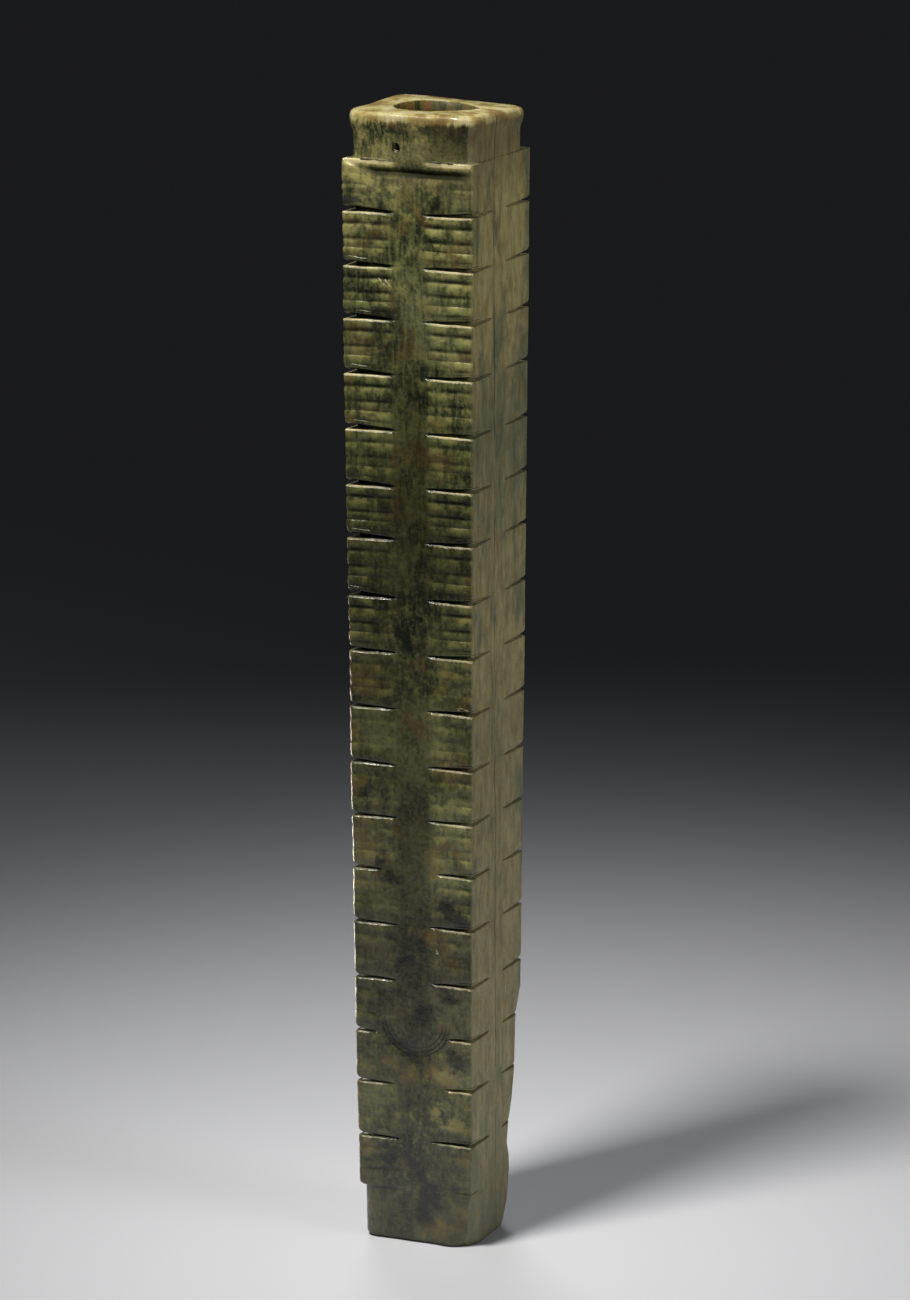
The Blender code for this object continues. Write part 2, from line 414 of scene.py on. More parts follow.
def add_tier(grid, number, ledge, foot):
    """One tier, from its ledge to the foot of the slot below it."""
    fresh = relief(number)
    half = half_width(foot)
    along = half * np.abs(TANGENT)
    fade = FRONT * smooth_step(6.0, 8.5, number)
    fresh = fresh * lerp(1.0, smooth_step(0.25, 0.8, along / half), fade)
    presence = smooth_step(0.0, CARVING_RISE, along - CHANNEL_EDGE)
    above = smooth_step(0.0, CARVING_RISE, along - slot_start(number - 1))
    # The ledge's edge gets a painted cream highlight, partly pale wear, stronger towards the
    # corners and none on the right face
    bright = above * (1 - RIGHT) * lerp(0.55, 1.0, smooth_step(0.0, 0.7, along / half))
    bright = bright * lerp(1.0, 0.78 - 0.12 * FRONT_LEFT, smooth_step(5.0, 9.0, number))
    for inset, drop in LEDGE_EDGE:
        z = ledge - drop
        face = face_radius(z)
        grid.add(np.maximum(face - inset * above, core_radius(z)), z, edge=bright)

    shown = np.maximum(fresh, FRONT * lerp(0.55, 0.25, smooth_step(14.0, 16.0, number)))
    nose = smooth_step(0.0, NOSE_END, along - (half - NOSE_LENGTH))
    uneven = ROW_WAVER * round_noise(1.6, number + 0.4)
    worn = np.clip(0.85 + 0.6 * round_noise(5.0, number + 0.2), 0.25, 1.1)
    carving = FIRST_CARVING if number == 1 else CARVING
    # The grooves take painted shade with some grime, and the upper parts of the bands a painted
    # highlight that is partly polished wear
    for share, depth, nose_depth, dirt, polish in carving:
        shifted = share + uneven * 4.0 * share * (1.0 - share)
        z = lerp(ledge, foot, shifted)
        cut = lerp(depth, nose_depth, nose) * MM * fresh * presence
        lined = nose if number == 1 else worn
        grid.add(face_radius(z, cut * worn), z, dirt=dirt * fresh * presence * lined,
                 polish=polish * shown * presence * lined)

    start = slot_start(number)
    reach = np.clip((along - start) / (half - start), 0.0, 1.0)
    present = smooth_step(0.0, 0.08, reach)
    taller = lerp(1.0, SLOT_TALLER, FRONT_LEFT * slot_crispness(number))
    open_share = lerp(SLOT_CLOSING, 1.0, reach ** 0.8) * taller
    double = by_block((0.9, 0.2), (0.0, 0.2), (0.2, 0.0), (0.0, 0.8))
    last = number == len(TIER_HEIGHTS)
    grow = NEAR_FILL if last else -SLOT_DEEPER * smooth_step(0.0, 0.25, reach)
    for height, inward, line, dirt in underside(number):
        z = foot + height * (1.0 if last else open_share)
        face = face_radius(z, FIELD_DEPTH * fresh * presence)
        line = line * double * smooth_step(0.45, 0.8, reach)
        radius = lerp(face, core_radius(z, grow), inward * present) - line * SECOND_LINE
        # The second saw line and the slot are painted dark, shade with some grime
        dirt = np.maximum(dirt, line * 0.8) * present
        grid.add(radius, z, dirt=dirt)


def add_base(grid, ledge):
    """The lower collar, its worn lower edge and the underside."""
    for share in BASE_SHARES:
        z = lerp(ledge, BASE_ROUND, share) + 0.0 * ANGLE
        grid.add(core_radius(z, NEAR_FILL), z)
    for step in range(ROUND_STEPS + 1):
        angle = math.radians(90) * step / ROUND_STEPS
        z = BASE_ROUND * (1 - math.sin(angle))
        inset = BASE_ROUND * (1 - math.cos(angle))
        # The worn lower edge is painted darker towards the floor, a painted contact shadow
        grid.add(core_radius(z, NEAR_FILL - inset), z, dirt=0.85 * (step / ROUND_STEPS) ** 1.5)
    outer = core_radius(0.0, NEAR_FILL - BASE_ROUND)
    for share in UNDERSIDE_SHARES:
        grid.add(lerp(outer, BORE_BASE + MOUTH_ROUND, share), 0.0)


def add_bore(grid):
    """The bore, drilled from both ends, and the ground top between its mouth and the rim."""
    grid.add(BORE_BASE + MOUTH_ROUND, 0.0, inside=1.0)
    for share in LOWER_BORE_SHARES:
        z = lerp(MOUTH_ROUND, BORE_MEETING, share)
        grid.add(lerp(BORE_BASE, BORE_WAIST, share), z, inside=1.0)
    mouth = HEIGHT - MOUTH_ROUND - 0.7 * rim_drop()
    for share in UPPER_BORE_SHARES:
        z = lerp(BORE_MEETING, mouth, share)
        grid.add(lerp(BORE_WAIST, BORE_TOP, share), z, inside=1.0)
    outer = core_radius(HEIGHT, face_step(HEIGHT) - RIM_ROUND)
    for share in TOP_SHARES:
        z = HEIGHT - lerp(0.7, 1.0, share) * rim_drop() - 0.25 * MM * (share == 0.0)
        inner = BORE_TOP + MOUTH_ROUND * (0.6 if share == 0.0 else 1.0)
        # The mouth's lip takes a little painted highlight
        grid.add(lerp(inner, outer, share), z, rim=1.0, edge=0.6 * (share < 0.1))


def ledge_heights():
    """The height of each ledge, from the top down, with the underside of the last tier."""
    heights = [HEIGHT - TOP_COLLAR]
    for height in TIER_HEIGHTS:
        heights.append(heights[-1] - height * MM)
    return heights


def make_grid():
    """The whole grid, and how many of its rows lie on the outside."""
    grid = Grid()
    ledges = []
    for number, height in enumerate(ledge_heights()):
        waver = round_noise(1.3, number) + 0.35 * round_noise(9.0, number + 0.5)
        ledges.append(height + WOBBLE * waver)
    add_top_collar(grid, ledges[0])
    for number, (ledge, foot) in enumerate(zip(ledges, ledges[1:])):
        add_tier(grid, number + 1, ledge, foot)
    add_base(grid, ledges[-1])
    outside = len(grid.rows)
    add_bore(grid)
    return grid.arrays(), outside


# The broad saw cut under the first ledge of the front, by the place across in millimetres:
# how far below the ledge its lower lip lies, and how deep it is there
SAW_CUT_ACROSS = (-30.0, -27.0, -22.0, -16.0, 0.0, 10.0, 25.0, 28.5, 30.0)
SAW_CUT_LIPS = (0.8, 1.5, 3.3, 5.0, 5.1, 5.5, 5.1, 5.0, 5.0)
SAW_CUT_DEPTHS = (0.0, 0.5, 1.2, 1.6, 1.7, 1.8, 1.7, 0.6, 0.0)

# The worn upper edge of both blocks
BEVEL_DEPTH = 0.9 * MM
BEVEL_HEIGHT = 2.9 * MM

# The slanting step below the saw cut: its ends across the face, their heights, and how high it
# stands
STEP_ENDS = (-7.0 * MM, 13.0 * MM)
STEP_HEIGHTS = (462.8 * MM, 466.8 * MM)
STEP_RISE = 0.30 * MM

# The scar that a curved tool left across tiers 16 and 17 of the front
SCAR_CENTRE = (0.6 * MM, 101.4 * MM)
SCAR_RADIUS = 16.2 * MM
SCAR_EDGE = 2.5 * MM
SCAR_DEPTH = 0.40 * MM
SCAR_DISH = 3.5 * MM
SCAR_FIELD_DEPTH = 0.15 * MM

# The corner lost at the back right: height and depth along the diagonal, in millimetres
LOST_HEIGHTS = (0, 11, 21, 32, 38, 48, 57, 70, 90, 95, 106, 120, 158, 207, 255, 347, 495)
LOST_DEPTHS = (13.5, 9.1, 7.7, 8.3, 9.8, 8.6, 6.7, 4.9, 4.4, 4.0, 0.9, 0.7, 0.5, 0.1, -0.5,
               -1.3, -2.4)
LOST_ROUND = 2.4 * MM

# The worn lower end of the near corner
FOOT_WEAR = 5.0 * MM
FOOT_WEAR_HEIGHT = 20.0 * MM
FOOT_ROUND = 3.0 * MM

# How far the front left corner stands out beyond the even taper: heights and distances in
# millimetres
STAND_OUT_HEIGHTS = (0, 40, 65, 156, 204, 253, 301, 397, 445, 474, 476, 495)
STAND_OUTS = (0.5, 0.5, 1.1, 1.2, 1.4, 1.1, 0.7, 0.9, 0.4, 0.3, -0.6, -0.6)


def stand_out(grid, outside):
    """Moves the front left corner of the outer rows out to where the photo shows it."""
    share = np.clip((np.abs(TANGENT) - 0.25) / 0.75, 0.0, 1.0) ** 1.5 * FRONT_LEFT
    out = np.interp(grid["height"][:outside] / MM, STAND_OUT_HEIGHTS, STAND_OUTS) * MM
    grid["radius"][:outside] += out * share


def cut_saw_mark(grid):
    """What a curved saw left across the first ledge of the front, and the step below."""
    across = grid["radius"] * np.sin(OFF_FACE)
    below = HEIGHT - TOP_COLLAR - grid["height"]
    lip = np.interp(across / MM, SAW_CUT_ACROSS, SAW_CUT_LIPS) * MM
    depth = np.interp(across / MM, SAW_CUT_ACROSS, SAW_CUT_DEPTHS) * MM
    share = np.clip(below / lip, 0.0, 1.0)
    hollow = share ** 1.6 * smooth_step(1.3, 1.0, below / lip) * FRONT
    blocks = smooth_step(5.0 * MM, 9.0 * MM, np.abs(across - 0.5 * MM)) * FRONT
    worn = blocks * (below > -0.05 * MM) * np.clip(1.0 - below / BEVEL_HEIGHT, 0.0, 1.0) ** 1.4
    core = np.array([core_radius(z, 0.02 * MM) for z in grid["height"]])
    beveled = np.maximum(grid["radius"] - BEVEL_DEPTH * worn, np.minimum(core, grid["radius"]))
    grid["radius"] = beveled - depth * hollow
    # Painted shadow in the hollow under the overhanging ledge
    dark = smooth_step(0.35, 0.85, share) * smooth_step(1.45, 1.2, below / lip) * FRONT
    grid["dirt"] = np.maximum(grid["dirt"], 0.95 * dark * depth / (1.7 * MM))
    # Painted highlight, cream and yellow, on the lit slope of the worn upper edge
    painted = blocks * (below > -0.05 * MM) * np.clip(1.25 - below / BEVEL_HEIGHT, 0.0, 1.0)
    grid["edge"] = np.maximum(grid["edge"], 1.1 * painted)
    grid["polish"] = np.maximum(grid["polish"], painted)

    line = np.interp(across, STEP_ENDS, STEP_HEIGHTS)
    raised = smooth_step(0.5 * MM, -0.1 * MM, grid["height"] - line)
    raised *= smooth_step(-6.0 * MM, 0.0, grid["height"] - line)
    raised *= smooth_step(-9.0 * MM, -5.0 * MM, across) * smooth_step(15 * MM, 11 * MM, across)
    grid["radius"] += STEP_RISE * raised * FRONT


def cut_scar(grid):
    """The curved scar: it has taken the slot away inside it, and leaves a shallow dish."""
    across = grid["radius"] * np.sin(OFF_FACE)
    distance = np.hypot(across - SCAR_CENTRE[0], grid["height"] - SCAR_CENTRE[1])
    inside = FRONT * (1.0 - smooth_step(SCAR_RADIUS - SCAR_EDGE, SCAR_RADIUS, distance))
    plain = np.array([face_radius(z, SCAR_FIELD_DEPTH) for z in grid["height"]])
    dish = SCAR_DEPTH * bump(distance, SCAR_RADIUS * 0.86, SCAR_DISH)
    dish *= smooth_step(3.0 * MM, -6.0 * MM, grid["height"] - SCAR_CENTRE[1])
    filled = lerp(grid["radius"], np.maximum(grid["radius"], plain), inside)
    grid["radius"] = filled - dish * FRONT
    grid["dirt"] *= 1.0 - inside


def cut_lost_corner(grid):
    """The broken back right corner and the worn foot of the near one."""
    z = grid["height"]
    depth = np.interp(z / MM, LOST_HEIGHTS, LOST_DEPTHS) * MM
    reach = half_width(z) * math.sqrt(2.0) - depth
    facing = np.cos(TURN - math.radians(45))
    plane = reach / np.maximum(facing, 0.2)
    grid["radius"] = soft_min(grid["radius"], plane, LOST_ROUND)

    # The last column lies at the near corner
    wear = FOOT_WEAR * np.clip(1.0 - z / FOOT_WEAR_HEIGHT, 0.0, 1.0) ** 1.7
    corner = core_radius(FOOT_WEAR_HEIGHT)[-1]
    near = np.cos(TURN + math.radians(45))
    plane = (corner - wear) / np.maximum(near, 0.2)
    grid["radius"] = np.where(z < FOOT_WEAR_HEIGHT,
                              soft_min(grid["radius"], plane, FOOT_ROUND), grid["radius"])


# The unevenness of the worn faces, broad and fine: waves to the metre and height in
# millimetres; and how far the faces stand out on the whole
BROAD_WEAR = (26.0, 0.26)
FINE_WEAR = (95.0, 0.10)
WEAR_LIFT = 0.15


def weather(grid, outside):
    """The slow unevenness of the worn faces."""
    for i in range(outside):
        for j, turn in enumerate(TURN):
            r = grid["radius"][i, j]
            place = Vector((r * math.cos(turn), r * math.sin(turn), grid["height"][i, j]))
            broad = noise.noise(place * BROAD_WEAR[0]) * BROAD_WEAR[1]
            fine = noise.noise(place * FINE_WEAR[0]) * FINE_WEAR[1]
            grid["radius"][i, j] = r + (broad + fine + WEAR_LIFT) * MM


def build_mesh(grid):
    """The closed mesh of the grid, with what the material reads as attributes."""
    radius, height = grid["radius"], grid["height"]
    rows, columns = radius.shape
    points = np.stack((radius * np.cos(TURN), radius * np.sin(TURN), height), axis=-1)
    index = np.arange(rows * columns).reshape(rows, columns)
    below = np.roll(index, -1, axis=0)
    beside = np.roll(index, -1, axis=1)
    across = np.roll(below, -1, axis=1)
    faces = np.stack((index, below, across, beside), axis=-1).reshape(-1, 4)

    mesh = bpy.data.meshes.new("carved_jade")
    mesh.from_pydata(points.reshape(-1, 3).tolist(), [], faces.tolist())
    for name, values in grid.items():
        if name not in ("radius", "height"):
            layer = mesh.attributes.new(name, "FLOAT", "POINT")
            layer.data.foreach_set("value", values.astype(np.float32).ravel())
    mesh.shade_smooth()
    mesh.update()
    return mesh


def add_object(name, data):
    """A new object in the scene."""
    made = bpy.data.objects.new(name, data)
    bpy.context.scene.collection.objects.link(made)
    return made


# The small hole through the front of the top collar
SIDE_HOLE = 1.35 * MM
SIDE_HOLE_ACROSS = -5.5 * MM
SIDE_HOLE_DROP = 15.0 * MM
SIDE_HOLE_SIDES = 24

# The rings of its cutter: place along Y, and how wide it is there against the hole
SIDE_HOLE_RINGS = (
    (-TOP_HALF - 2.0 * MM, 2.0),
    (-TOP_HALF + 0.9 * MM, 1.3),
    (-TOP_HALF + 2.2 * MM, 1.0),
    (-BORE_TOP + 6.0 * MM, 0.9),
)


def drill_side_hole(piece):
    """Cuts the small hole into the mesh, and removes the cutter."""
    turned = [2 * math.pi * k / SIDE_HOLE_SIDES for k in range(SIDE_HOLE_SIDES)]
    z = HEIGHT - SIDE_HOLE_DROP
    points = []
    for y, swell in SIDE_HOLE_RINGS:
        for angle in turned:
            points.append((SIDE_HOLE_ACROSS + SIDE_HOLE * swell * math.cos(angle), y,
                           z + SIDE_HOLE * swell * math.sin(angle)))
    faces = [tuple(range(SIDE_HOLE_SIDES)),
             tuple(reversed(range(len(points) - SIDE_HOLE_SIDES, len(points))))]
    for ring in range(len(SIDE_HOLE_RINGS) - 1):
        for k in range(SIDE_HOLE_SIDES):
            here = ring * SIDE_HOLE_SIDES
            after = (k + 1) % SIDE_HOLE_SIDES
            faces.append((here + k, here + SIDE_HOLE_SIDES + k,
                          here + SIDE_HOLE_SIDES + after, here + after))
    cutter_mesh = bpy.data.meshes.new("side_hole_cutter")
    cutter_mesh.from_pydata(points, [], faces)
    cutter = add_object("side_hole_cutter", cutter_mesh)
    cut = piece.modifiers.new("side_hole", "BOOLEAN")
    cut.operation = "DIFFERENCE"
    cut.solver = "EXACT"
    cut.object = cutter
    bpy.context.view_layer.update()
    evaluated = piece.evaluated_get(bpy.context.evaluated_depsgraph_get())
    drilled = bpy.data.meshes.new_from_object(evaluated)
    piece.modifiers.clear()
    piece.data = drilled
    bpy.data.objects.remove(cutter)


class Graph:
    """Short calls for the nodes of one material."""

    def __init__(self, material):
        material.use_nodes = True
        self.tree = material.node_tree
        self.shader = self.tree.nodes["Principled BSDF"]

    def link(self, value, socket):
        if isinstance(value, bpy.types.NodeSocket):
            self.tree.links.new(value, socket)
        elif isinstance(value, tuple) and len(value) == 3 and socket.type == "RGBA":
            socket.default_value = (*value, 1.0)
        else:
            socket.default_value = value

    def node(self, kind, **inputs):
        """A new node of this kind, with these of its inputs set or linked."""
        node = self.tree.nodes.new("ShaderNode" + kind)
        for name, value in inputs.items():
            self.link(value, node.inputs[name])
        return node

    def attribute(self, name):
        node = self.node("Attribute")
        node.attribute_name = name
        return node.outputs["Fac"]

    def position(self):
        return self.node("TexCoord").outputs["Object"]

    def stretch(self, vector, scale):
        return self.node("Mapping", Vector=vector, Scale=scale).outputs["Vector"]

    def split(self, vector):
        return self.node("SeparateXYZ", Vector=vector).outputs

    def noise(self, vector, scale, detail=4.0, roughness=0.55, distortion=0.0):
        node = self.node("TexNoise", Vector=vector, Scale=scale, Detail=detail,
                         Roughness=roughness, Distortion=distortion)
        return node.outputs["Fac"]

    def math(self, operation, first, second=0.0, clamp=False):
        node = self.node("Math")
        node.operation = operation
        node.use_clamp = clamp
        self.link(first, node.inputs[0])
        self.link(second, node.inputs[1])
        return node.outputs[0]

    def plus(self, first, second):
        return self.math("ADD", first, second)

    def minus(self, first, second):
        return self.math("SUBTRACT", first, second)

    def times(self, first, second):
        return self.math("MULTIPLY", first, second)

    def most(self, first, second):
        return self.math("MAXIMUM", first, second)

    def span(self, value, low, high, first=0.0, second=1.0):
        """value from low to high, smoothly mapped to first to second."""
        node = self.node("MapRange")
        node.interpolation_type = "SMOOTHSTEP"
        for name, number in (("Value", value), ("From Min", low), ("From Max", high),
                             ("To Min", first), ("To Max", second)):
            self.link(number, node.inputs[name])
        return node.outputs["Result"]

    def ramp(self, value, stops):
        node = self.node("ValToRGB", Fac=value)
        elements = node.color_ramp.elements
        while len(elements) < len(stops):
            elements.new(0.5)
        for element, (place, colour) in zip(elements, stops):
            element.position = place
            element.color = (*colour, 1.0)
        return node.outputs["Color"]

    def mix(self, share, first, second, blend="MIX"):
        node = self.node("Mix")
        node.data_type = "RGBA"
        node.blend_type = blend
        self.link(share, node.inputs["Factor"])
        self.link(first, node.inputs[6])
        self.link(second, node.inputs[7])
        return node.outputs[2]

    def tint(self, colour, other, value, low, high, share, where=1.0):
        """colour turned to other, by up to this share as value runs from low to high."""
        turned = self.span(value, low, high, 0.0, share)
        return self.mix(self.times(where, turned), colour, other)

    def grey(self, value):
        """A grey of this value."""
        return self.node("CombineColor", Red=value, Green=value, Blue=value).outputs["Color"]

    def bump(self, height, distance, strength=1.0):
        node = self.node("Bump", Strength=strength, Distance=distance, Height=height)
        return node.outputs["Normal"]


# The stone's colours, as linear light; the last, near black, is grime and painted shade, and the
# creams also give the painted glints of the scratch marks and the painted highlight of the edges
DARK_GREEN = (0.022, 0.028, 0.010)
OLIVE = (0.092, 0.092, 0.029)
PALE_OLIVE = (0.215, 0.200, 0.068)
UPPER_OLIVE = (0.25, 0.24, 0.062)
YELLOW = (0.36, 0.31, 0.082)
BROWN = (0.165, 0.100, 0.028)
GLINT_CREAM = (0.56, 0.48, 0.27)
GOLDEN = (0.150, 0.108, 0.030)
RIM_OLIVE = (0.29, 0.255, 0.090)
RIM_YELLOW = (0.44, 0.375, 0.130)
RIM_CREAM = (0.66, 0.59, 0.32)
BAND_YELLOW = (0.50, 0.45, 0.115)
RUST = (0.19, 0.058, 0.018)
BLACK_GREEN = (0.008, 0.011, 0.007)
GREY_OLIVE = (0.178, 0.158, 0.078)
GREY_GREEN = (0.085, 0.095, 0.058)
DIRT_AND_SHADE = (0.006, 0.006, 0.004)
NEPHRITE_IOR = 1.61
UNEVENNESS = 0.45 * MM

# How the stone's colour runs from the foot to the rim, on the front and on the right face: share
# of the height, and the colour that it is multiplied by; this is partly the stone's own tone and
# partly painted light and shade along the height
HEIGHT_TONES_AND_LIGHT = (
    (0.00, (0.42, 0.44, 0.64)),
    (0.09, (0.60, 0.635, 0.88)),
    (0.14, (0.63, 0.65, 0.88)),
    (0.24, (0.36, 0.38, 0.58)),
    (0.34, (0.47, 0.50, 0.72)),
    (0.43, (0.40, 0.43, 0.58)),
    (0.53, (0.53, 0.56, 0.74)),
    (0.63, (0.30, 0.325, 0.42)),
    (0.73, (0.48, 0.515, 0.66)),
    (0.82, (0.62, 0.68, 0.97)),
    (0.91, (0.88, 0.94, 1.28)),
    (1.00, (0.92, 0.88, 1.18)),
)
RIGHT_TONES_AND_LIGHT = (
    (0.00, (0.52, 0.49, 0.48)),
    (0.05, (0.68, 0.70, 0.74)),
    (0.10, (0.95, 0.96, 1.04)),
    (0.35, (1.00, 0.99, 1.04)),
    (0.45, (0.86, 0.88, 0.93)),
    (0.55, (1.14, 1.10, 1.12)),
    (0.66, (0.88, 0.90, 0.96)),
    (0.73, (0.70, 0.75, 0.86)),
    (0.80, (1.28, 1.24, 1.20)),
    (0.92, (1.50, 1.46, 1.30)),
    (0.97, (0.92, 0.87, 0.86)),
)

# How bright the channel and the two blocks of the front are against those colours, at these
# shares of the height, partly their own tone and partly painted light and shade; and the painted
# light that brightens the hidden faces
SHADE_HEIGHTS = (0.03, 0.09, 0.14, 0.24, 0.38, 0.53, 0.63, 0.73, 0.82, 0.91, 0.97)
CHANNEL_SHADES = (0.75, 1.10, 0.65, 0.70, 0.70, 1.05, 0.80, 0.65, 1.05, 1.05, 1.35)
NEAR_SHADES = (0.60, 0.90, 1.40, 0.95, 1.70, 1.10, 0.90, 1.65, 1.10, 0.95, 0.60)
LEFT_SHADES = (0.90, 0.90, 0.95, 0.90, 1.10, 0.60, 0.85, 1.20, 0.75, 1.10, 1.70)
HIDDEN_FACE_PAINTED_LIGHT = 1.35

# The thin crack down the right face: its place at the foot, its lean, how far it wanders, and
# its width
CRACK_FOOT = 1.3 * MM
CRACK_LEAN = -0.0149
CRACK_WANDER = 4.4 * MM
CRACK_WIDTH = 0.24 * MM

# The rings of the two eyes that still show on the right block of the front
EYES = ((12.7 * MM, 441.1 * MM), (12.2 * MM, 457.5 * MM))
EYE_RADIUS = 2.3 * MM

# The scar's arcs: how far apart they lie, where their band begins and ends beside the scar's
# radius, and between which heights beside its centre they fade in
ARC_SPACING = 1.75 * MM
ARC_BAND = (-5.0 * MM, -3.4 * MM, 0.0, 0.9 * MM)
ARC_FADE = (1.0 * MM, -5.0 * MM)
LINE_WAVER = 0.3 * MM

# Scratch marks of the front, painted as pale glints: the two ends of each, across and up the
# face, in millimetres
SCRATCHES = (
    ((10.6, 133.9), (11.6, 132.2)),
    ((10.4, 132.4), (11.9, 132.9)),
    ((20.5, 242.8), (22.0, 241.2)),
    ((22.5, 242.2), (26.8, 241.2)),
    ((-14.0, 424.6), (-8.0, 418.8)),
    ((-11.0, 424.0), (-8.6, 421.4)),
)
SCRATCH_WIDTH = 0.24 * MM


def length(graph, x, z):
    return graph.math("SQRT", graph.plus(graph.times(x, x), graph.times(z, z)))


def far_from(graph, x, z, centre):
    """How far each point lies from a centre on the front."""
    return length(graph, graph.minus(x, centre[0]), graph.minus(z, centre[1]))


def off_line(graph, x, z, start, end):
    """How far each point lies from the line between two places on the front."""
    ax, az = start[0] * MM, start[1] * MM
    dx, dz = end[0] * MM - ax, end[1] * MM - az
    square = dx * dx + dz * dz
    from_x = graph.minus(x, ax)
    from_z = graph.minus(z, az)
    along = graph.math("ADD", graph.times(from_x, dx / square),
                       graph.times(from_z, dz / square), clamp=True)
    return length(graph, graph.minus(from_x, graph.times(along, dx)),
                  graph.minus(from_z, graph.times(along, dz)))


def marks(graph, place, grain):
    """The scar's arcs with the eyes' rings, and the painted glints of the scratch marks, each 1
    on its lines.
    """
    x, _, z = graph.split(place)
    front = graph.attribute("front")
    uneven = graph.times(graph.minus(grain, 0.5), LINE_WAVER)
    distance = graph.plus(far_from(graph, x, z, SCAR_CENTRE), uneven)
    wave = graph.math("SINE", graph.times(distance, 2 * math.pi / ARC_SPACING))
    inner, full, edge, outer = (SCAR_RADIUS + reach for reach in ARC_BAND)
    band = graph.times(graph.span(distance, inner, full), graph.span(distance, outer, edge))
    low = graph.span(z, SCAR_CENTRE[1] + ARC_FADE[0], SCAR_CENTRE[1] + ARC_FADE[1])
    arcs = graph.times(graph.times(band, low), graph.span(wave, -0.4, 0.7, 0.3, 1.0))
    eyes = 0.0
    for centre in EYES:
        gap = graph.math("ABSOLUTE", graph.minus(far_from(graph, x, z, centre), EYE_RADIUS))
        eyes = graph.most(eyes, graph.span(gap, 0.2 * MM, 0.7 * MM, 1.0, 0.0))
    rings = graph.times(front, graph.most(arcs, graph.times(eyes, 0.5)))

    scratch_glints = 0.0
    for start, end in SCRATCHES:
        gap = graph.plus(off_line(graph, x, z, start, end), uneven)
        line = graph.span(gap, 0.4 * SCRATCH_WIDTH, 1.3 * SCRATCH_WIDTH, 1.0, 0.0)
        scratch_glints = graph.most(scratch_glints, line)
    scratch_glints = graph.times(scratch_glints, graph.span(grain, 0.38, 0.56))
    return rings, graph.times(scratch_glints, front)


def crack(graph, place):
    """The thin wavering crack down the right face, open here and closed there."""
    _, y, z = graph.split(place)
    upright = graph.stretch(place, (0.0, 0.0, 1.0))
    wander = graph.noise(upright, 55.0, detail=4.0)
    middle = graph.plus(graph.times(z, CRACK_LEAN), CRACK_FOOT - CRACK_WANDER / 2)
    middle = graph.plus(middle, graph.times(wander, CRACK_WANDER))
    gap = graph.math("ABSOLUTE", graph.minus(y, middle))
    line = graph.span(gap, 0.3 * CRACK_WIDTH, 1.6 * CRACK_WIDTH, 1.0, 0.0)
    opening = graph.span(graph.noise(upright, 22.0, detail=2.0), 0.40, 0.50)
    return graph.times(graph.times(line, graph.attribute("side")), opening)


def right_colour_and_sheen(graph, place, mottle, height):
    """The duller right face: grey-brown, with grey-green streaks, its paler greyer colour partly
    the worn stone and partly a painted sheen.
    """
    # Paler and greyer than the front, partly the worn stone and partly a painted sheen, with
    # painted light and shade by height
    colour = graph.mix(1.0, GREY_OLIVE, graph.ramp(height, RIGHT_TONES_AND_LIGHT), "MULTIPLY")
    strand = graph.noise(graph.stretch(place, (1.0, 1.0, 0.10)), 150.0, detail=4.0, roughness=0.6)
    colour = graph.tint(colour, GREY_GREEN, strand, 0.50, 0.66, 0.6)
    cloud = graph.noise(graph.stretch(place, (1.0, 1.0, 0.6)), 60.0, detail=5.0, roughness=0.65)
    colour = graph.tint(colour, GREY_GREEN, cloud, 0.50, 0.66, 0.7)
    colour = graph.tint(colour, BROWN, mottle, 0.50, 0.66, 0.35)
    rough = graph.noise(graph.stretch(place, (1.0, 1.0, 0.3)), 280.0, detail=6.0,
                        roughness=0.7, distortion=0.4)
    return graph.mix(1.0, colour, graph.grey(graph.span(rough, 0.3, 0.7, 0.72, 1.26)), "MULTIPLY")


